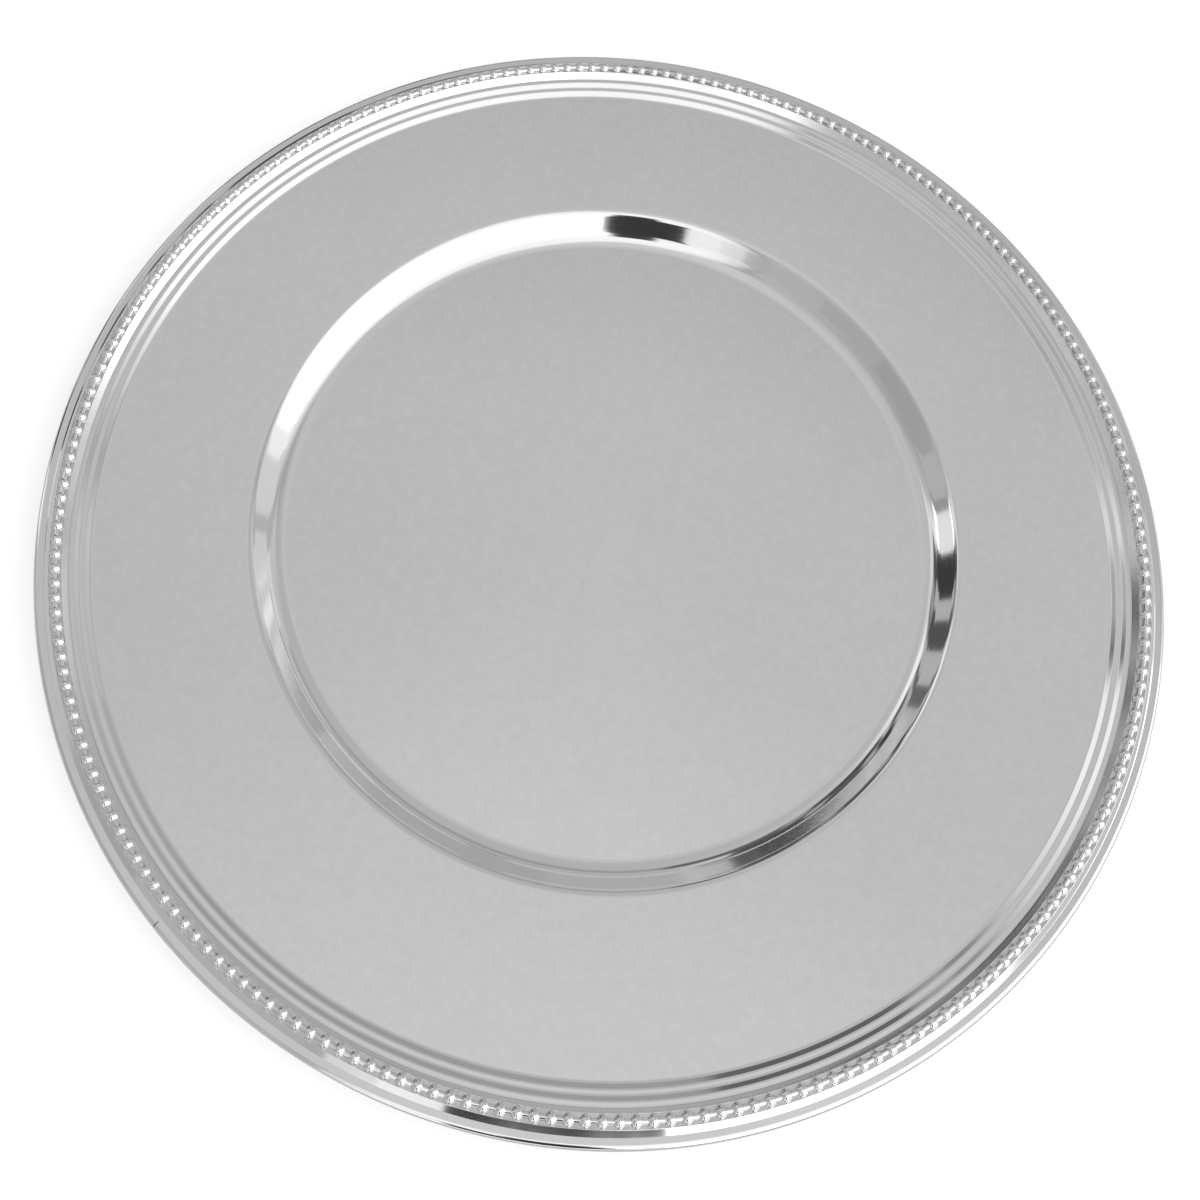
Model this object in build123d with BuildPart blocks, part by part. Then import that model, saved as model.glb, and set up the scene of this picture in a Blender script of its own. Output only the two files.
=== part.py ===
from build123d import *
import os
from math import asin, degrees, radians, sin, tan

# A round silver salver: a pressed plate with a shallow well, and an applied border made of a
# stamped moulding, a row of pearls and a half-round edge wire. Units are millimetres. +Z is up,
# and the origin is the centre of the well's flat underside, where the salver rests.

# ---- Overall size ----
overall_diameter = 320.0
sheet = 1.2  # thickness of the plate's metal
fit_gap = 0.05  # air left beside the pearls in their seat

# ---- Well and the sloping wall round it (the bouge) ----
well_depth = 6.2
well_foot_radius = 95.3  # where the flat floor and the wall would meet without their fillet
bouge_angle = 45.0  # steepness of the wall, from the floor
bouge_foot_fillet = 7.9
bouge_brow_fillet = 3.7

# ---- Rim: a broad field that rises a little, then two narrow steps ----
field_rise = 1.7
step_1_foot_radius = 145.15
step_1_rise = 1.0
step_1_angle = 30.0
step_2_foot_radius = 148.0
step_2_rise = 0.9
step_2_angle = 30.0
step_foot_fillets = (2.0, 1.6)  # of the first step and of the second
step_brow_fillets = (1.4, 1.2)
least_fillet = 0.2  # inside a bend too tight for the sheet to follow

# ---- Stamped moulding, which carries the pearls in a raised seat between a crest and a shoulder ----
moulding_wall = 0.45
moulding_foot_radius = 150.8
moulding_width = 7.3
crest_height = 2.4
crest_angle = 60.0
seat_rise = 2.0  # from the flange to the floor of the pearl seat
shoulder_height = 2.5
shoulder_width = 1.7
land_rise = 0.9  # from the flange to the flat outer land
crest_fillet = 0.08
shoulder_fillet = 0.16

# ---- Pearls, struck as one flat-backed wire ----
pearl_count = 236
pearl_circle_radius = 153.95
pearl_radius = 1.55
pearl_centre_height = 0.4  # above the seat, so each pearl is a little more than half a ball
neck_radius = 0.75

# ---- Half-round edge wire, bent into a hoop whose ends meet at one butt seam ----
edge_wire_drop = 0.4  # how far it hangs below the plate's flange
edge_solder_width = 0.8  # the solder's reach along the flange, behind the edge wire
seam_azimuth = 230.0
seam_gap = 0.3
seam_recess = 0.2  # the solder in the seam sits a little below the wire's surface

# ---- Heights and radii that follow from the sizes above ----
overall_radius = overall_diameter / 2
floor_top = sheet
rim_height = floor_top + well_depth
field_edge_height = rim_height + field_rise
land_1_height = field_edge_height + step_1_rise
flange_top = land_1_height + step_2_rise
flange_bottom = flange_top - sheet
brow_radius = well_foot_radius + well_depth / tan(radians(bouge_angle))
step_1_brow_radius = step_1_foot_radius + step_1_rise / tan(radians(step_1_angle))
step_2_brow_radius = step_2_foot_radius + step_2_rise / tan(radians(step_2_angle))
flange_radius = moulding_foot_radius + moulding_width
seat_height = flange_top + seat_rise
land_height = flange_top + land_rise
pearl_centre = seat_height + pearl_centre_height
seat_inner_radius = pearl_circle_radius - pearl_radius - fit_gap
seat_outer_radius = pearl_circle_radius + pearl_radius + fit_gap

# ---- Plate: one pressed sheet, from the centre of the well to the flange under the border ----
# The bends of its upper face run outwards in pairs: the foot of a wall, then its brow.
upper_bends = [
    (well_foot_radius, floor_top),
    (brow_radius, rim_height),
    (step_1_foot_radius, field_edge_height),
    (step_1_brow_radius, land_1_height),
    (step_2_foot_radius, land_1_height),
    (step_2_brow_radius, flange_top),
]
wall_angles = [bouge_angle, bouge_angle, step_1_angle, step_1_angle, step_2_angle, step_2_angle]
upper_fillets = [
    bouge_foot_fillet,
    bouge_brow_fillet,
    step_foot_fillets[0],
    step_brow_fillets[0],
    step_foot_fillets[1],
    step_brow_fillets[1],
]

# The lower face keeps the sheet's thickness. A bend moves out by sheet * tan(half its angle).
lower_bends = [
    (radius + sheet * tan(radians(angle / 2)), height - sheet)
    for (radius, height), angle in zip(upper_bends, wall_angles)
]
foot_fillets = [fillet_radius + sheet for fillet_radius in upper_fillets[0::2]]
brow_fillets = [max(fillet_radius - sheet, least_fillet) for fillet_radius in upper_fillets[1::2]]
lower_fillets = [
    fillet_radius for pair in zip(foot_fillets, brow_fillets) for fillet_radius in pair
]

with BuildPart() as plate:
    with BuildSketch(Plane.XZ):
        with BuildLine():
            FilletPolyline(
                (0, floor_top),
                *upper_bends,
                (flange_radius, flange_top),
                (flange_radius, flange_bottom),
                *reversed(lower_bends),
                (0, 0),
                radius=[0, *upper_fillets, 0, 0, *reversed(lower_fillets), 0],
                close=True,
            )
        make_face()
    revolve(axis=Axis.Z)
plate.part.label = "plate"

# ---- Border moulding: a thin stamped hoop on the flange, hollow from its crest to its shoulder ----
crest_top = flange_top + crest_height
crest_radius = moulding_foot_radius + crest_height / tan(radians(crest_angle))
shoulder_top = flange_top + shoulder_height
valley_radius = seat_outer_radius + shoulder_width
shoulder_slope = (shoulder_top - land_height) / shoulder_width

# The hollow's sides lie one wall inside the two slopes, and its roof one wall under the seat.
hollow_roof = seat_height - moulding_wall
hollow_inner_foot = moulding_foot_radius + moulding_wall / sin(radians(crest_angle))
hollow_inner_roof = hollow_inner_foot + (hollow_roof - flange_top) / tan(radians(crest_angle))
shoulder_foot = valley_radius + land_rise / shoulder_slope
hollow_outer_foot = shoulder_foot - moulding_wall * (1 + shoulder_slope**-2) ** 0.5
hollow_outer_roof = hollow_outer_foot - (hollow_roof - flange_top) / shoulder_slope
hollow = [
    (hollow_inner_foot, flange_top),
    (hollow_inner_roof, hollow_roof),
    (hollow_outer_roof, hollow_roof),
    (hollow_outer_foot, flange_top),
]

with BuildPart() as border_moulding:
    with BuildSketch(Plane.XZ):
        with BuildLine():
            FilletPolyline(
                (moulding_foot_radius, flange_top),
                (crest_radius, crest_top),
                (seat_inner_radius, crest_top),
                (seat_inner_radius, seat_height),
                (seat_outer_radius, seat_height),
                (seat_outer_radius, shoulder_top),
                (valley_radius, land_height),
                (flange_radius, land_height),
                (flange_radius, flange_top),
                radius=[crest_fillet, crest_fillet, 0, 0, shoulder_fillet, 0, 0],
            )
            Line((flange_radius, flange_top), (moulding_foot_radius, flange_top))
        make_face()
        with BuildLine():
            Polyline(*hollow, close=True)
        make_face(mode=Mode.SUBTRACT)
    revolve(axis=Axis.Z)
border_moulding.part.label = "border_moulding"

# ---- Border filling: the ring of soft solder that loads the moulding's hollow ----
with BuildPart() as border_filling:
    with BuildSketch(Plane.XZ):
        with BuildLine():
            Polyline(*hollow, close=True)
        make_face()
    revolve(axis=Axis.Z)
border_filling.part.label = "border_filling"

# ---- Pearl wire: domes on one thin core, with a flat back that lies on the seat ----
flat_back_angle = degrees(asin(pearl_centre_height / pearl_radius))

with BuildPart() as pearl_wire:
    with BuildSketch(Plane.XZ):
        with Locations((pearl_circle_radius, pearl_centre)):
            Circle(neck_radius)
        with Locations((pearl_circle_radius, seat_height)):
            Rectangle(
                4 * neck_radius,
                4 * neck_radius,
                align=(Align.CENTER, Align.MAX),
                mode=Mode.SUBTRACT,
            )
    revolve(axis=Axis.Z)
    with Locations((0, 0, pearl_centre)):
        with PolarLocations(pearl_circle_radius, pearl_count):
            Sphere(pearl_radius, arc_size1=-flat_back_angle, align=None)
pearl_wire.part.label = "pearl_wire"

# ---- Edge wire: a half-round hoop that closes the edge of the flange and the moulding ----
edge_wire_bottom = flange_bottom - edge_wire_drop
edge_wire_nose = (land_height - edge_wire_bottom) / 2  # radius of the rounded outer side
edge_wire_middle = (land_height + edge_wire_bottom) / 2
edge_wire_back = overall_radius - edge_wire_nose
seam_angle = degrees(seam_gap / overall_radius)


def upright_plane(azimuth):
    """The plane through +Z that faces out at this azimuth: its x is the radius, its y is height."""
    return Plane.XZ.rotated((0, 0, azimuth))


with BuildSketch() as half_round:
    with BuildLine():
        Polyline(
            (edge_wire_back, edge_wire_bottom),
            (flange_radius, edge_wire_bottom),
            (flange_radius, land_height),
            (edge_wire_back, land_height),
        )
        ThreePointArc(
            (edge_wire_back, land_height),
            (overall_radius, edge_wire_middle),
            (edge_wire_back, edge_wire_bottom),
        )
    make_face()

with BuildPart() as edge_wire:
    with BuildSketch(upright_plane(seam_azimuth + seam_angle / 2)):
        add(half_round.sketch)
    revolve(axis=Axis.Z, revolution_arc=360 - seam_angle)
edge_wire.part.label = "edge_wire"

# ---- Seam solder: fills the butt seam of the edge wire, a little below its surface ----
with BuildPart() as seam_solder:
    with BuildSketch(upright_plane(seam_azimuth - seam_angle / 2)):
        add(half_round.sketch)
        offset(amount=-seam_recess, mode=Mode.REPLACE)
    revolve(axis=Axis.Z, revolution_arc=seam_angle)
seam_solder.part.label = "seam_solder"

# ---- Edge solder: the run of solder in the corner under the flange, which holds the edge wire ----
with BuildPart() as edge_solder:
    with BuildSketch(Plane.XZ):
        with BuildLine():
            Polyline(
                (flange_radius - edge_solder_width, flange_bottom),
                (flange_radius, flange_bottom),
                (flange_radius, edge_wire_bottom),
                close=True,
            )
        make_face()
    revolve(axis=Axis.Z)
edge_solder.part.label = "edge_solder"

os.makedirs("parts", exist_ok=True)
export_step(plate.part, "parts/plate.step")
export_step(border_moulding.part, "parts/border_moulding.step")
export_step(border_filling.part, "parts/border_filling.step")
export_step(pearl_wire.part, "parts/pearl_wire.step")
export_step(edge_wire.part, "parts/edge_wire.step")
export_step(seam_solder.part, "parts/seam_solder.step")
export_step(edge_solder.part, "parts/edge_solder.step")
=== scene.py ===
from math import asin, atan2, ceil, cos, pi, radians, sin, sqrt, tan

import bpy
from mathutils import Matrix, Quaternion, Vector


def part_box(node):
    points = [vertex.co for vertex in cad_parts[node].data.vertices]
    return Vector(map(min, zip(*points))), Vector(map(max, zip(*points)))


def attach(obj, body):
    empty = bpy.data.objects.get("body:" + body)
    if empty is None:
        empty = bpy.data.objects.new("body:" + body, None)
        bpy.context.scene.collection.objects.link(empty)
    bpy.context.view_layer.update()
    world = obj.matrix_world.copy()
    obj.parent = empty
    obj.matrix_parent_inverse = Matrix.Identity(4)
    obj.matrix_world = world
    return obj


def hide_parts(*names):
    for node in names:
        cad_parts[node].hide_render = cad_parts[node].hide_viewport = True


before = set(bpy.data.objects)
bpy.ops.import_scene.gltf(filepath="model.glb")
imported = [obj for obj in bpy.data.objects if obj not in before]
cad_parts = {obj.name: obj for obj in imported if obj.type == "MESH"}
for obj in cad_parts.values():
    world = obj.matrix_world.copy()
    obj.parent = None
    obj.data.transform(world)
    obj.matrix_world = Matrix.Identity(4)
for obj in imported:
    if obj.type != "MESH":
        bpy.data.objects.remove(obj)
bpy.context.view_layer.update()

# ---------------------------------------------------------------- sizes, in metres
# Heights and outer radii come from the frame. The rest are the sizes the plate is pressed to.
MM = 0.001
plate_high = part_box("plate")[1]
pearl_low, pearl_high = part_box("pearl_wire")
wire_low, wire_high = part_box("edge_wire")

SHEET = 1.2 * MM
FLOOR_TOP = SHEET
RIM_HEIGHT = FLOOR_TOP + 6.2 * MM
FIELD_EDGE = RIM_HEIGHT + 1.7 * MM
LAND_1 = FIELD_EDGE + 1.0 * MM
FLANGE_TOP = plate_high.z
FLANGE_BOTTOM = FLANGE_TOP - SHEET
FLANGE_RADIUS = plate_high.x

WELL_FOOT = 95.3 * MM
STEP_1_FOOT = 145.15 * MM
STEP_2_FOOT = 148.0 * MM
BOUGE_ANGLE = radians(45)
STEP_1_ANGLE = radians(30)
STEP_2_ANGLE = radians(30)
BOUGE_FOOT_FILLET = 7.9 * MM
BOUGE_BROW_FILLET = 3.7 * MM
STEP_1_FOOT_FILLET = 2.0 * MM
STEP_1_BROW_FILLET = 1.4 * MM
STEP_2_FOOT_FILLET = 1.6 * MM
STEP_2_BROW_FILLET = 1.2 * MM
LEAST_FILLET = 0.2 * MM

MOULDING_FOOT = 150.8 * MM
MOULDING_WALL = 0.45 * MM
CREST_ANGLE = radians(60)
CREST_TOP = FLANGE_TOP + 2.4 * MM
SHOULDER_TOP = FLANGE_TOP + 2.5 * MM
SHOULDER_WIDTH = 1.7 * MM
LAND_RISE = 0.9 * MM
CREST_FILLET = 0.08 * MM
SHOULDER_FILLET = 0.16 * MM
FIT_GAP = 0.05 * MM

PEARL_COUNT = 236
PEARL_CIRCLE = 153.95 * MM
PEARL_RADIUS = 1.55 * MM
PEARL_CENTRE = pearl_high.z - PEARL_RADIUS
NECK_RADIUS = 0.75 * MM
SEAT_HEIGHT = pearl_low.z
SEAT_INNER = PEARL_CIRCLE - PEARL_RADIUS - FIT_GAP
SEAT_OUTER = PEARL_CIRCLE + PEARL_RADIUS + FIT_GAP

WIRE_RADIUS = wire_high.x
SEAM_AZIMUTH = radians(230)
SEAM_GAP = 0.3 * MM

# Where the finish changes. The sheet is flat and a little satin on its floor, out to the first radius, and on
# the field between the next two. The moulding's crest is satin too.
FLOOR_FLAT = 92 * MM
FIELD_FLAT = (103.6 * MM, 144.2 * MM)
CREST_BAND = (MOULDING_FOOT, 152.4 * MM)

ROUND_STEPS = 600  # facets round the salver
ARC_STEP = radians(5)  # longest facet along a rounded bend
FLAT_STEP = 9 * MM  # longest facet along a flat


# ---------------------------------------------------------------- outlines
class Outline:
    """A closed line in the (radius, height) plane with exact normals. The metal lies on its right."""

    def __init__(self, corners):
        """corners are (radius, height, fillet), and the first one has no fillet."""
        self.points = [Vector(corners[0][:2])]
        self.normals = []  # for each stretch, the normal at its start and at its end
        corner = [Vector(c[:2]) for c in corners]
        count = len(corner)
        for k in range(1, count + 1):
            here = corner[k % count]
            fillet = corners[k][2] if k < count else 0
            if fillet == 0:
                self.line_to(here)
            else:
                before = (here - corner[k - 1]).normalized()
                after = (corner[(k + 1) % count] - here).normalized()
                self.bend(here, before, after, fillet)

    def line_to(self, point):
        start = self.points[-1]
        run = point - start
        if run.length < 1e-9:
            return
        pieces = ceil(run.length / FLAT_STEP)
        normal = Vector((-run.y, run.x)).normalized()
        for k in range(1, pieces + 1):
            self.points.append(start + run * k / pieces)
            self.normals.append((normal, normal))

    def bend(self, corner, before, after, fillet):
        turn = atan2(before.x * after.y - before.y * after.x, before.dot(after))
        start = corner - before * fillet * tan(abs(turn) / 2)
        self.line_to(start)
        normal = Vector((-before.y, before.x))
        bulge = -fillet if turn > 0 else fillet  # a turn to the left is a hollow
        centre = start - bulge * normal
        first = atan2(normal.y, normal.x)
        steps = ceil(abs(turn) / ARC_STEP)
        for k in range(1, steps + 1):
            angle = first + turn * k / steps
            previous = angle - turn / steps
            self.points.append(centre + bulge * Vector((cos(angle), sin(angle))))
            self.normals.append((Vector((cos(previous), sin(previous))), Vector((cos(angle), sin(angle)))))


# ---------------------------------------------------------------- meshes
class Shell:
    """Vertices and faces in progress, with one exact normal for each corner of each face."""

    def __init__(self):
        self.vertices = []
        self.faces = []
        self.normals = []

    def add_face(self, corners, normals):
        self.faces.append(corners)
        self.normals.extend(normals)

    def piece(self, name, material):
        mesh = bpy.data.meshes.new(name)
        mesh.from_pydata(self.vertices, [], self.faces)
        mesh.shade_smooth()
        mesh.normals_split_custom_set(self.normals)
        mesh.update()
        mesh.materials.append(material)
        made = bpy.data.objects.new(name, mesh)
        bpy.context.scene.collection.objects.link(made)
        return made


def turn_outline(shell, outline, angles=None):
    """Turns an outline round the axis: all the way, or through the given angles with a cap at each end."""
    hoop = angles is not None
    if not hoop:
        angles = [2 * pi * j / ROUND_STEPS for j in range(ROUND_STEPS)]
    columns = len(angles)
    on_axis = outline.points[0].x < 1e-9
    rings = outline.points[1:-2] if on_axis else outline.points[:-1]
    rows = len(rings)
    skipped = 1 if on_axis else 0
    first = len(shell.vertices)
    around = [(cos(a), sin(a)) for a in angles]
    shell.vertices += [(p.x * c, p.x * s, p.y) for p in rings for c, s in around]

    def at(row, column):
        return first + (row % rows) * columns + column % columns

    def lean(normal, column):
        c, s = around[column % columns]
        return (normal.x * c, normal.x * s, normal.y)

    for row in range(rows - 1 if on_axis else rows):
        start, end = outline.normals[row + skipped]
        for j in range(columns - 1 if hoop else columns):
            shell.add_face(
                (at(row, j), at(row + 1, j), at(row + 1, j + 1), at(row, j + 1)),
                (lean(start, j), lean(end, j), lean(end, j + 1), lean(start, j + 1)),
            )
    if on_axis:
        top = len(shell.vertices)
        shell.vertices += [(0, 0, outline.points[0].y), (0, 0, outline.points[-2].y)]
        for j in range(columns):
            shell.add_face((top, at(0, j), at(0, j + 1)), [(0, 0, 1)] * 3)
            shell.add_face((top + 1, at(rows - 1, j + 1), at(rows - 1, j)), [(0, 0, -1)] * 3)
    if hoop:
        (c, s), (end_c, end_s) = around[0], around[-1]
        shell.add_face([at(row, 0) for row in reversed(range(rows))], [(s, -c, 0)] * rows)
        shell.add_face([at(row, columns - 1) for row in range(rows)], [(-end_s, end_c, 0)] * rows)


def plate_outline():
    """The pressed sheet: the same bends above and below, a sheet's thickness apart."""
    walls = [
        (WELL_FOOT, FLOOR_TOP, RIM_HEIGHT, BOUGE_ANGLE, BOUGE_FOOT_FILLET, BOUGE_BROW_FILLET),
        (STEP_1_FOOT, FIELD_EDGE, LAND_1, STEP_1_ANGLE, STEP_1_FOOT_FILLET, STEP_1_BROW_FILLET),
        (STEP_2_FOOT, LAND_1, FLANGE_TOP, STEP_2_ANGLE, STEP_2_FOOT_FILLET, STEP_2_BROW_FILLET),
    ]
    upper, lower = [], []
    for foot, bottom, top, angle, foot_fillet, brow_fillet in walls:
        brow = foot + (top - bottom) / tan(angle)
        shift = SHEET * tan(angle / 2)
        upper += [(foot, bottom, foot_fillet), (brow, top, brow_fillet)]
        lower += [
            (foot + shift, bottom - SHEET, foot_fillet + SHEET),
            (brow + shift, top - SHEET, max(brow_fillet - SHEET, LEAST_FILLET)),
        ]
    edge = [(FLANGE_RADIUS, FLANGE_TOP, 0), (FLANGE_RADIUS, FLANGE_BOTTOM, 0)]
    return Outline([(0, FLOOR_TOP, 0), *upper, *edge, *reversed(lower), (0, 0, 0)])


def make_plate(material):
    shell = Shell()
    turn_outline(shell, plate_outline())
    return shell.piece("salver_plate", material)


def make_moulding(material):
    """The stamped border, with the hollow that the soft solder fills."""
    land = FLANGE_TOP + LAND_RISE
    crest = MOULDING_FOOT + (CREST_TOP - FLANGE_TOP) / tan(CREST_ANGLE)
    valley = SEAT_OUTER + SHOULDER_WIDTH
    slope = (SHOULDER_TOP - land) / SHOULDER_WIDTH
    roof = SEAT_HEIGHT - MOULDING_WALL
    inner_foot = MOULDING_FOOT + MOULDING_WALL / sin(CREST_ANGLE)
    inner_roof = inner_foot + (roof - FLANGE_TOP) / tan(CREST_ANGLE)
    outer_foot = valley + LAND_RISE / slope - MOULDING_WALL * sqrt(1 + slope**-2)
    outer_roof = outer_foot - (roof - FLANGE_TOP) / slope
    outline = Outline([
        (MOULDING_FOOT, FLANGE_TOP, 0),
        (crest, CREST_TOP, CREST_FILLET),
        (SEAT_INNER, CREST_TOP, CREST_FILLET),
        (SEAT_INNER, SEAT_HEIGHT, 0),
        (SEAT_OUTER, SEAT_HEIGHT, 0),
        (SEAT_OUTER, SHOULDER_TOP, SHOULDER_FILLET),
        (valley, land, 0),
        (FLANGE_RADIUS, land, 0),
        (FLANGE_RADIUS, FLANGE_TOP, 0),
        (outer_foot, FLANGE_TOP, 0),
        (outer_roof, roof, 0),
        (inner_roof, roof, 0),
        (inner_foot, FLANGE_TOP, 0),
    ])
    shell = Shell()
    turn_outline(shell, outline)
    return shell.piece("beaded_border", material)


def make_edge_wire(material):
    nose = 0.4995 * (wire_high.z - wire_low.z)  # just short of a half circle
    outline = Outline([
        (FLANGE_RADIUS, wire_high.z, 0),
        (WIRE_RADIUS, wire_high.z, nose),
        (WIRE_RADIUS, wire_low.z, nose),
        (FLANGE_RADIUS, wire_low.z, 0),
    ])
    gap = SEAM_GAP / WIRE_RADIUS
    first = SEAM_AZIMUTH + gap / 2
    sweep = 2 * pi - gap
    angles = [first + sweep * j / ROUND_STEPS for j in range(ROUND_STEPS + 1)]
    shell = Shell()
    turn_outline(shell, outline, angles)
    return shell.piece("edge_wire_hoop", material)


def make_pearls(material):
    """One closed tube round the salver: it swells into a ball at each pearl and lies flat on its seat."""
    ball_steps, neck_steps, arc_steps, flat_steps = 14, 2, 19, 2
    ball_end = asin(sqrt(1 - (NECK_RADIUS / PEARL_RADIUS) ** 2))
    pitch = 2 * pi / PEARL_COUNT
    drop = PEARL_CENTRE - SEAT_HEIGHT

    # One pearl's sections, from the neck's start: (turn from the pearl's middle, radius, surface lean)
    sections = []
    for k in range(ball_steps + 1):
        lean = ball_end * (2 * k / ball_steps - 1)
        sections.append((asin(PEARL_RADIUS * sin(lean) / PEARL_CIRCLE), PEARL_RADIUS * cos(lean), lean))
    neck_start = sections[-1][0]
    for k in range(1, neck_steps):
        turn = neck_start + (pitch - 2 * neck_start) * k / neck_steps
        sections.append((turn, NECK_RADIUS, 0))
    count = len(sections)

    def ring_of(radius):
        """The points of one section, round from its outer foot, as (out, up) from the pearl's centre."""
        foot = asin(drop / radius)
        around = [-foot + (pi + 2 * foot) * k / arc_steps for k in range(arc_steps + 1)]
        ring = [(radius * cos(a), radius * sin(a)) for a in around]
        width = radius * cos(foot)
        ring += [(-width + 2 * width * k / flat_steps, -drop) for k in range(1, flat_steps)]
        return ring, around

    shell = Shell()
    per_ring = arc_steps + flat_steps
    rings = [ring_of(radius) for _, radius, _ in sections]
    for pearl in range(PEARL_COUNT):
        for (turn, _, _), (ring, _) in zip(sections, rings):
            c, s = cos(pearl * pitch + turn), sin(pearl * pitch + turn)
            for out, up in ring:
                radius = PEARL_CIRCLE + out
                shell.vertices.append((radius * c, radius * s, PEARL_CENTRE + up))
    total = PEARL_COUNT * count

    def normal(pearl, section, step, lean):
        """The exact normal of a section's arc point, where the surface leans along the wire by lean."""
        turn = sections[section % count][0] + (pearl + section // count) * pitch
        around = rings[section % count][1][step]
        c, s = cos(turn), sin(turn)
        out, up, along = cos(around) * cos(lean), sin(around) * cos(lean), sin(lean)
        return (out * c - along * s, out * s + along * c, up)

    down = (0, 0, -1)
    for pearl in range(PEARL_COUNT):
        for section in range(count):
            ring = pearl * count + section
            after = (ring + 1) % total
            on_ball = section < ball_steps
            lean = sections[section][2] if on_ball else 0
            next_lean = sections[section + 1][2] if on_ball else 0
            for step in range(per_ring):
                beside = (step + 1) % per_ring
                corners = (
                    ring * per_ring + step,
                    after * per_ring + step,
                    after * per_ring + beside,
                    ring * per_ring + beside,
                )
                if step < arc_steps:
                    normals = (
                        normal(pearl, section, step, lean),
                        normal(pearl, section + 1, step, next_lean),
                        normal(pearl, section + 1, step + 1, next_lean),
                        normal(pearl, section, step + 1, lean),
                    )
                else:
                    normals = (down, down, down, down)
                shell.add_face(corners, normals)
    return shell.piece("pearl_row", material)


# ---------------------------------------------------------------- shader helpers
def set_input(tree, socket, value):
    if isinstance(value, bpy.types.NodeSocket):
        tree.links.new(value, socket)
    else:
        socket.default_value = value


def add(tree, kind, inputs=None, **settings):
    made = tree.nodes.new(kind)
    for key, value in settings.items():
        setattr(made, key, value)
    for key, value in (inputs or {}).items():
        set_input(tree, made.inputs[key], value)
    return made


def maths(tree, operation, *values):
    made = tree.nodes.new("ShaderNodeMath")
    made.operation = operation
    for socket, value in zip(made.inputs, values):
        set_input(tree, socket, value)
    return made.outputs[0]


def ramp(tree, value, low, high, to_low=0.0, to_high=1.0):
    """value from low..high, eased to to_low..to_high and held outside it."""
    numbers = {"Value": value, "From Min": low, "From Max": high, "To Min": to_low, "To Max": to_high}
    return add(tree, "ShaderNodeMapRange", numbers, interpolation_type="SMOOTHSTEP").outputs[0]


def mix(tree, factor, a, b):
    """a where factor is 0 and b where it is 1, for plain numbers."""
    made = add(tree, "ShaderNodeMix", data_type="FLOAT")
    set_input(tree, made.inputs[0], factor)
    set_input(tree, made.inputs[2], a)
    set_input(tree, made.inputs[3], b)
    return made.outputs[0]


def noise(tree, place, scale, detail=2.0, roughness=0.5):
    settings = {"Vector": place, "Scale": scale, "Detail": detail, "Roughness": roughness}
    return add(tree, "ShaderNodeTexNoise", settings).outputs["Fac"]


def new_material(name):
    material = bpy.data.materials.new(name)
    material.use_nodes = True
    tree = material.node_tree
    return material, tree, tree.nodes["Principled BSDF"]


def grey(tree, value):
    made = add(tree, "ShaderNodeCombineColor")
    for socket in made.inputs[:3]:
        set_input(tree, socket, value)
    return made.outputs[0]


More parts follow.
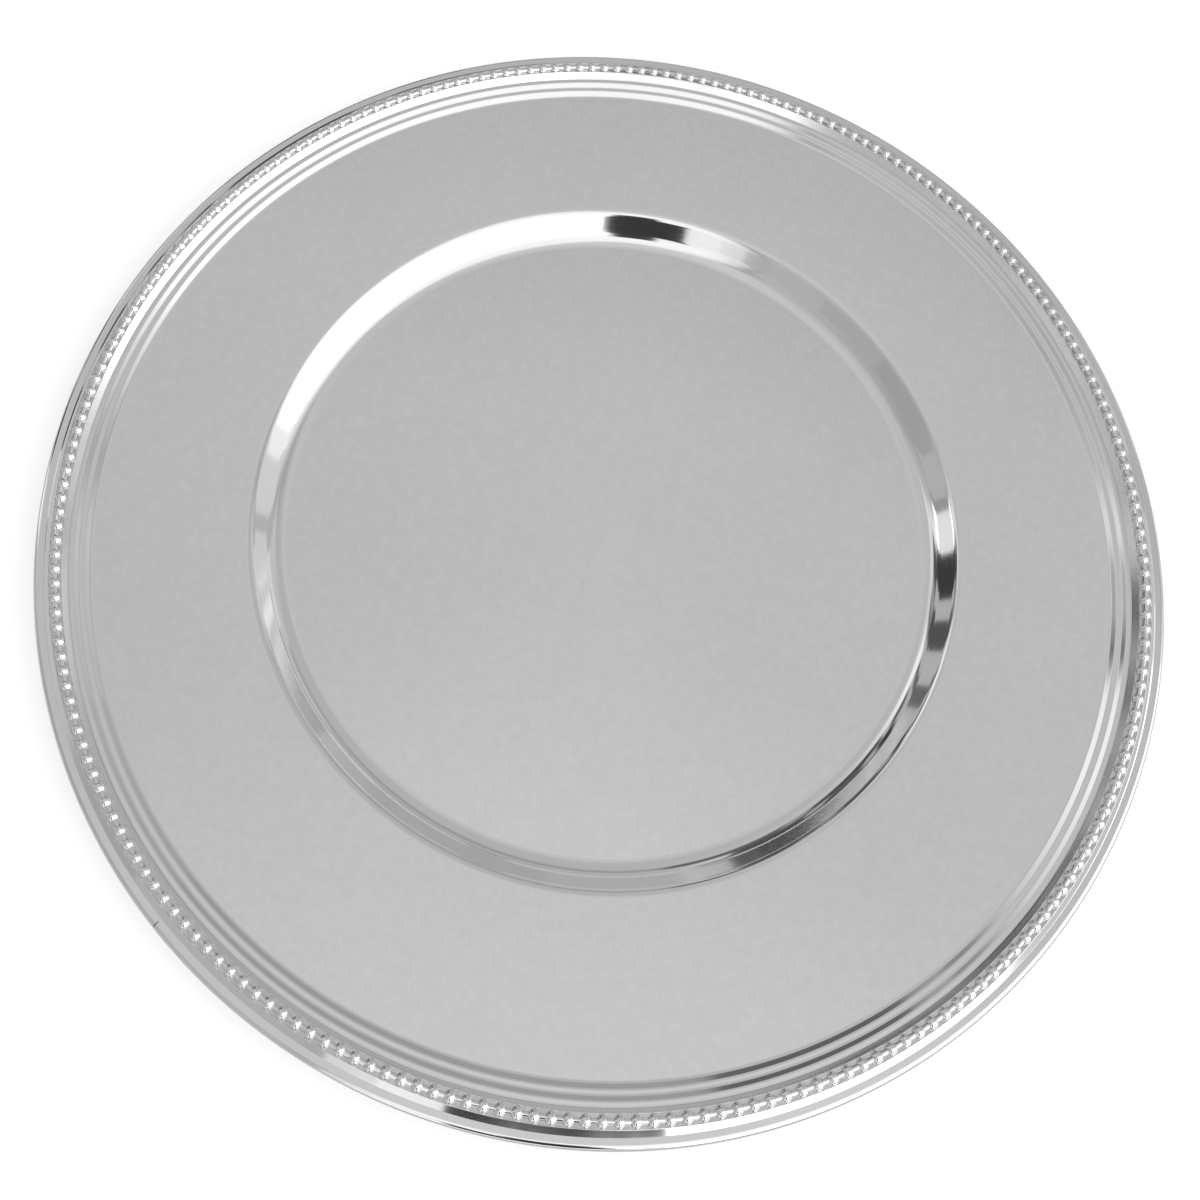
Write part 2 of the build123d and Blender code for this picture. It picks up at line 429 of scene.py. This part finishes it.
# ---------------------------------------------------------------- materials
def polished_silver(name):
    """Silver kept bright: mirror bends, mottled flats with fine rings of polish, and dull crevices darkened
    with tarnish and painted shade.
    """
    material, tree, shader = new_material(name)
    place = add(tree, "ShaderNodeTexCoord").outputs["Object"]
    axes = add(tree, "ShaderNodeSeparateXYZ", {"Vector": place}).outputs
    x_squared = maths(tree, "POWER", axes["X"], 2)
    y_squared = maths(tree, "POWER", axes["Y"], 2)
    radius = maths(tree, "SQRT", maths(tree, "ADD", x_squared, y_squared))

    def between(low, high, edge):
        """1 inside a ring and 0 outside it, eased over edge to each side of its two radii."""
        rises = ramp(tree, radius, low - edge, low + edge)
        falls = ramp(tree, radius, high - edge, high + edge, 1, 0)
        return maths(tree, "MULTIPLY", rises, falls)

    floor_face = ramp(tree, radius, FLOOR_FLAT - 1 * MM, FLOOR_FLAT + 1 * MM, 1, 0)
    flat = maths(tree, "MAXIMUM", floor_face, between(*FIELD_FLAT, 0.8 * MM))

    # Tone: a soft mottle on the flats, fine specks everywhere, tarnish with painted shade low in the pearl
    # seat, and a faint darker line along the moulding's foot.
    bright = 0.925
    mottle = noise(tree, place, 420.0, 4.0, 0.6)
    cloud = noise(tree, place, 22.0, 2.0)
    speck = noise(tree, place, 1900.0, 2.0)
    patches = maths(tree, "MULTIPLY", flat, ramp(tree, mottle, 0.3, 0.7, -0.022, 0.022))
    tone = ramp(tree, cloud, 0.3, 0.7, -0.006, 0.006)
    tone = maths(tree, "ADD", tone, patches)
    tone = maths(tree, "ADD", tone, ramp(tree, speck, 0.3, 0.7, -0.008, 0.008))
    tone = maths(tree, "ADD", tone, bright)
    # Painted shade: the base colour is darkened low in the pearl seat, where the crevice between the pearls
    # and their seat lies in shade, together with some tarnish.
    seat = between(SEAT_INNER - 0.1 * MM, SEAT_OUTER + 0.1 * MM, 0.15 * MM)
    deep = ramp(tree, axes["Z"], SEAT_HEIGHT - 0.1 * MM, SEAT_HEIGHT + 0.9 * MM, 1, 0)
    crevice = maths(tree, "MULTIPLY", seat, deep)
    tarnish_and_painted_shade = maths(tree, "MULTIPLY", crevice, ramp(tree, mottle, 0.2, 0.8, 0.12, 0.30))
    # A faint darker line where the moulding's foot meets the plate. It is added to the painted shade and
    # tarnish of the seat, and together they darken the base colour.
    joint = between(MOULDING_FOOT - 0.35 * MM, MOULDING_FOOT + 0.15 * MM, 0.2 * MM)
    darkening_with_painted_shade = maths(tree, "ADD", tarnish_and_painted_shade, maths(tree, "MULTIPLY", joint, 0.10))
    tone = maths(tree, "MULTIPLY", tone, maths(tree, "SUBTRACT", 1, darkening_with_painted_shade))
    set_input(tree, shader.inputs["Metallic"], 1.0)
    set_input(tree, shader.inputs["Base Color"], grey(tree, tone))

    # Finish: the flats and the crest are a little satin, the bends are mirrors, and the tarnished,
    # painted-shade crevice in the pearl seat is dull.
    mirror, satin, crest_satin, dull = 0.06, 0.12, 0.12, 0.3
    turns = maths(tree, "MULTIPLY", radius, 2600)
    rings = add(tree, "ShaderNodeCombineXYZ", {"X": turns, "Y": axes["X"], "Z": axes["Y"]})
    polish = noise(tree, rings.outputs[0], 1.0, 3.0)
    crest = between(*CREST_BAND, 0.1 * MM)
    finish = maths(tree, "ADD", mix(tree, flat, mirror, satin), maths(tree, "MULTIPLY", crest, crest_satin))
    finish = maths(tree, "ADD", finish, ramp(tree, polish, 0.3, 0.7, 0.0, 0.02))
    set_input(tree, shader.inputs["Roughness"], maths(tree, "MULTIPLY_ADD", tarnish_and_painted_shade, dull, finish))
    return material


def soft_solder(name):
    material, tree, shader = new_material(name)
    place = add(tree, "ShaderNodeTexCoord").outputs["Object"]
    lump = noise(tree, place, 700.0, 4.0)
    set_input(tree, shader.inputs["Metallic"], 1.0)
    set_input(tree, shader.inputs["Base Color"], grey(tree, ramp(tree, lump, 0.2, 0.8, 0.14, 0.34)))
    set_input(tree, shader.inputs["Roughness"], ramp(tree, lump, 0.2, 0.8, 0.35, 0.6))
    bump = add(tree, "ShaderNodeBump", {"Height": lump, "Strength": 0.4, "Distance": 0.2 * MM})
    set_input(tree, shader.inputs["Normal"], bump.outputs[0])
    return material


# ---------------------------------------------------------------- the salver
silver = polished_silver("polished_silver")
solder = soft_solder("soft_solder")

for piece, node in (
    (make_plate(silver), "plate"),
    (make_moulding(silver), "border_moulding"),
    (make_pearls(silver), "pearl_wire"),
    (make_edge_wire(silver), "edge_wire"),
):
    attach(piece, "root")
    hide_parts(node)

for node in ("border_filling", "edge_solder", "seam_solder"):
    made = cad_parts[node]
    made.data.materials.clear()
    made.data.materials.append(solder)

# ---------------------------------------------------------------- studio
# The room round the salver, as the metal mirrors it: bands from low to high, each made of cards
# that stand side by side. A card is (the azimuth in degrees where it begins, its brightness).
# Each band is (its top in degrees, how softly it ends in degrees, how its cards meet, the cards).
WINDOW = 1.7
DARK = 0.04
ROOM = (
    (7, 1, "CONSTANT", (
        (0, WINDOW), (12, 0.9), (18, 0.65), (27, 0.45), (30, 0.62), (37, 0.45), (45, 0.28),
        (58, 0.55), (65, 0.4), (77, 0.2), (81, 0.45), (99, 0.12), (105, DARK), (118, 0.15),
        (121, 0.08), (128, 0.42), (133, 0.12), (136, 0.45), (141, 0.08), (147, 0.45), (151, DARK),
        (158, 0.5), (166, 0.3), (169, 0.45), (180, 0.38), (210, 0.45), (240, 0.42), (243, 0.9),
        (247, WINDOW),
    )),
    (20, 2, "CONSTANT", (
        (0, WINDOW), (12, 0.9), (18, 0.65), (27, 0.45), (33, 0.68), (44, 0.52), (58, 0.42),
        (85, 0.45), (98, 0.55), (102, 0.08), (112, 0.35), (115, 0.1), (121, 0.4), (125, DARK),
        (129, 0.45), (134, 0.12), (137, 0.45), (141, 0.08), (147, 0.45), (151, DARK), (158, 0.8),
        (166, 0.3), (169, 0.45), (180, 0.37), (210, 0.44), (240, 0.42), (243, 0.7), (250, 0.9),
        (260, DARK), (286, WINDOW),
    )),
    (31, 3, "CONSTANT", (
        (0, WINDOW), (12, 0.9), (18, 0.65), (27, 0.45), (33, 0.55), (48, 0.38), (62, 0.34),
        (95, 0.12), (108, 0.3), (112, 0.07), (124, 0.5), (127, 0.12), (132, 0.45), (134, 0.12),
        (137, 0.45), (141, 0.08), (147, 0.45), (151, DARK), (158, 1.3), (166, 0.3), (169, 0.45),
        (180, 0.36), (200, 0.4), (220, 0.45), (240, 0.42), (243, 0.7), (250, 0.9), (260, DARK),
        (281, WINDOW),
    )),
    (45, 3, "LINEAR", (
        (0, WINDOW), (9, 1.3), (14, 0.9), (24, 0.52), (30, 0.4), (36, 0.58), (50, 0.46),
        (90, 0.46), (115, 0.55), (130, 0.95), (138, 0.9), (142, 0.12), (146, 0.4), (150, 0.06),
        (155, 0.1), (158, 0.95), (165, 0.48), (180, 0.37), (200, 0.4), (220, 0.45), (236, 0.48),
        (239, 0.38), (243, 0.75), (250, 0.95), (259.5, 0.95), (260, DARK), (281, DARK),
        (281.5, WINDOW), (360, WINDOW),
    )),
    (56, 3, "LINEAR", (
        (0, 1.4), (9, 1.1), (18, 0.7), (26, 0.42), (34, 0.38), (45, 0.46), (90, 0.47), (125, 0.5),
        (145, 0.7), (155, 0.8), (163, 0.48), (180, 0.4), (200, 0.42), (220, 0.46), (235, 0.49),
        (239, 0.38), (243, 0.75), (250, 1), (267.5, 1), (268, DARK), (281, DARK), (281.5, 1.4),
        (360, 1.4),
    )),
    (62, 2, "LINEAR", (
        (0, 1.05), (12, 0.95), (22, 0.65), (30, 0.44), (50, 0.46), (69, 0.465), (83, 0.48),
        (97, 0.48), (115, 0.49), (150, 0.5), (180, 0.46), (228, 0.48), (236, 0.38), (239, 0.38),
        (243, 0.8), (250, 1), (267.5, 1.05), (268, DARK), (281, DARK), (281.5, 1.1), (360, 1.05),
    )),
    (74, 4, "LINEAR", (
        (0, 1), (12, 0.9), (26, 0.54), (50, 0.54), (69, 0.53), (83, 0.55), (97, 0.53), (115, 0.51),
        (150, 0.53), (180, 0.52), (228, 0.5), (238, 0.42), (245, 0.85), (252, 1.02), (360, 1),
    )),
    (84, 4, "LINEAR", (
        (0, 0.95), (15, 0.78), (40, 0.62), (60, 0.62), (95, 0.615), (110, 0.58), (150, 0.56),
        (200, 0.57), (240, 0.66), (262, 0.98), (281, 1), (360, 0.95),
    )),
)
ZENITH = 0.64
CARD_WOBBLE = 0.012  # how far the sides of a card wander, in turns
BAND_WOBBLE = radians(4)  # how far the top of a band wanders


def make_world():
    world = bpy.data.worlds.new("studio")
    bpy.context.scene.world = world
    world.use_nodes = True
    tree = world.node_tree
    tree.nodes.clear()
    direction = add(tree, "ShaderNodeTexCoord").outputs["Generated"]
    axes = add(tree, "ShaderNodeSeparateXYZ", {"Vector": direction}).outputs
    turn = maths(tree, "DIVIDE", maths(tree, "ARCTAN2", axes["Y"], axes["X"]), 2 * pi)
    wobble = maths(tree, "SUBTRACT", noise(tree, direction, 9.0, 3.0), 0.5)
    azimuth = maths(tree, "MULTIPLY_ADD", wobble, CARD_WOBBLE, turn)
    azimuth = maths(tree, "FRACT", maths(tree, "ADD", azimuth, 1.0))
    elevation = maths(tree, "MULTIPLY_ADD", wobble, BAND_WOBBLE, maths(tree, "ARCSINE", axes["Z"]))
    light = ZENITH
    for top, blend, steps, cards in reversed(ROOM):
        band = add(tree, "ShaderNodeValToRGB", {"Fac": azimuth})
        band.color_ramp.interpolation = steps
        stops = band.color_ramp.elements
        stops.remove(stops[1])
        for begins, brightness in cards:
            stop = stops[0] if begins == 0 else stops.new(begins / 360)
            stop.position = begins / 360
            stop.color = [brightness / WINDOW] * 3 + [1]
        above = ramp(tree, elevation, radians(top - blend), radians(top + blend))
        light = mix(tree, above, maths(tree, "MULTIPLY", band.outputs[0], WINDOW), light)
    seen = add(tree, "ShaderNodeLightPath").outputs["Is Camera Ray"]
    colour = grey(tree, mix(tree, seen, light, 1.0))  # the camera itself sees plain white
    shade = add(tree, "ShaderNodeBackground", {"Color": colour, "Strength": 1.0})
    add(tree, "ShaderNodeOutputWorld", {"Surface": shade.outputs[0]})


def make_floor():
    """A pale floor that looks white to the camera and a little greyer in the metal."""
    half, gap, tone, glow = 3.0, 0.2 * MM, 0.72, 0.6
    mesh = bpy.data.meshes.new("floor")
    corners = [(-half, -half, 0), (half, -half, 0), (half, half, 0), (-half, half, 0)]
    mesh.from_pydata(corners, [], [(0, 1, 2, 3)])
    floor = bpy.data.objects.new("floor", mesh)
    floor.location.z = -gap
    bpy.context.scene.collection.objects.link(floor)
    material, tree, shader = new_material("pale_floor")
    seen = add(tree, "ShaderNodeLightPath").outputs["Is Camera Ray"]
    set_input(tree, shader.inputs["Base Color"], (tone, tone, tone, 1))
    set_input(tree, shader.inputs["Roughness"], 0.9)
    set_input(tree, shader.inputs["Emission Color"], (1, 1, 1, 1))
    set_input(tree, shader.inputs["Emission Strength"], maths(tree, "MULTIPLY", seen, glow))
    mesh.materials.append(material)


# The camera: where it stands and what it looks at, from the middle of the rim, then its roll and lens.
CAMERA_PLACE = Vector((-22.65, -200.59, 498.61)) * MM
CAMERA_AIM = Vector((-15.78, 137.35, 0.1)) * MM
CAMERA_ROLL = radians(8.026)
SENSOR_WIDTH = 36.0
LENS = 54.744
LENS_SHIFT = -0.4026


def make_camera():
    rim = Vector((0, 0, RIM_HEIGHT))
    place = CAMERA_PLACE + rim
    aim = CAMERA_AIM + rim
    data = bpy.data.cameras.new("camera")
    camera = bpy.data.objects.new("camera", data)
    bpy.context.scene.collection.objects.link(camera)
    bpy.context.scene.camera = camera
    camera.rotation_mode = "QUATERNION"
    camera.location = place
    camera.rotation_quaternion = (aim - place).to_track_quat("-Z", "Y") @ Quaternion((0, 0, 1), CAMERA_ROLL)
    data.sensor_width = SENSOR_WIDTH
    data.lens = LENS
    data.clip_start, data.clip_end = 0.01, 20

    # The lens is shifted at this height only, so that a camera moved to look from elsewhere stays centred.
    shift = data.driver_add("shift_y").driver
    shift.type = "SCRIPTED"
    height = shift.variables.new()
    height.name = "height"
    height.type = "TRANSFORMS"
    height.targets[0].id = camera
    height.targets[0].transform_type = "LOC_Z"
    height.targets[0].transform_space = "WORLD_SPACE"
    shift.expression = f"{LENS_SHIFT} if abs(height - {place.z:.5f}) < 0.0001 else 0"


make_world()
make_floor()
make_camera()
bpy.context.scene.view_settings.view_transform = "Standard"
